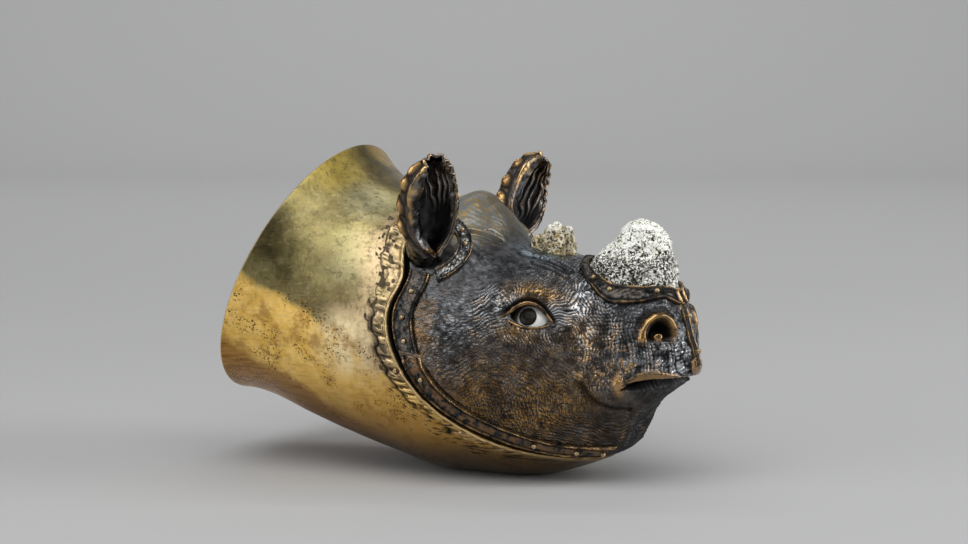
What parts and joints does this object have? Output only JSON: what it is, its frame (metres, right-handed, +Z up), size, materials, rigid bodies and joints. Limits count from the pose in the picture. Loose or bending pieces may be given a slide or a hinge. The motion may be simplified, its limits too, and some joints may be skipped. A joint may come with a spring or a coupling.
{
  "type": "rhyton",
  "caption": "Brass drinking cup with a flared mouth whose closed end is a bronze rhinoceros head with stone horns, inlaid eyes, separate ears and riveted straps.",
  "frame": {"origin": "on the flat under the belly that the vessel stands on, in the mid-plane of the head", "axes": "+X towards the nose, +Y to the animal's left, +Z up; the mouth of the cup faces back along -X and up"},
  "size_m": [0.1713, 0.1003, 0.111],
  "materials": {
    "brass": "worn polished brass with dark pitting",
    "dark_bronze": "dark patina, rubbed bronze on the high points",
    "strap_bronze": "dark patina with rubbed edges",
    "rivet_metal": "rubbed brass",
    "speckled_stone": "rough, white with black specks",
    "eye_white": "glossy",
    "eye_dark": "glossy, opaque"
  },
  "bodies": {
    "root": {"cup_shell": "brass", "inner_bowl": "brass", "head_casting": "dark_bronze", "front_horn": "speckled_stone", "rear_horn": "speckled_stone", "horn_collar": "strap_bronze", "nose_strap": "strap_bronze", "nose_rivet_1": "rivet_metal", "nose_rivet_2": "rivet_metal", "ear_left": "dark_bronze", "ear_strap_left": "strap_bronze", "cheek_strap_left": "strap_bronze", "jaw_strap_left": "strap_bronze", "eyeball_left": "eye_white", "iris_left": "eye_dark", "cheek_rivet_left_1": "rivet_metal", "cheek_rivet_left_2": "rivet_metal", "cheek_rivet_left_3": "rivet_metal", "jaw_rivet_left_1": "rivet_metal", "jaw_rivet_left_2": "rivet_metal", "jaw_rivet_left_3": "rivet_metal", "jaw_rivet_left_4": "rivet_metal", "ear_rivet_left_1": "rivet_metal", "ear_rivet_left_2": "rivet_metal", "collar_rivet_left_1": "rivet_metal", "collar_rivet_left_2": "rivet_metal", "collar_rivet_left_3": "rivet_metal", "head_pin_left_1": "rivet_metal", "head_pin_left_2": "rivet_metal", "head_pin_left_3": "rivet_metal", "ear_right": "dark_bronze", "ear_strap_right": "strap_bronze", "cheek_strap_right": "strap_bronze", "jaw_strap_right": "strap_bronze", "eyeball_right": "eye_white", "iris_right": "eye_dark", "cheek_rivet_right_1": "rivet_metal", "cheek_rivet_right_2": "rivet_metal", "cheek_rivet_right_3": "rivet_metal", "jaw_rivet_right_1": "rivet_metal", "jaw_rivet_right_2": "rivet_metal", "jaw_rivet_right_3": "rivet_metal", "jaw_rivet_right_4": "rivet_metal", "ear_rivet_right_1": "rivet_metal", "ear_rivet_right_2": "rivet_metal", "collar_rivet_right_1": "rivet_metal", "collar_rivet_right_2": "rivet_metal", "collar_rivet_right_3": "rivet_metal", "head_pin_right_1": "rivet_metal", "head_pin_right_2": "rivet_metal", "head_pin_right_3": "rivet_metal"}
  },
  "joints": []
}
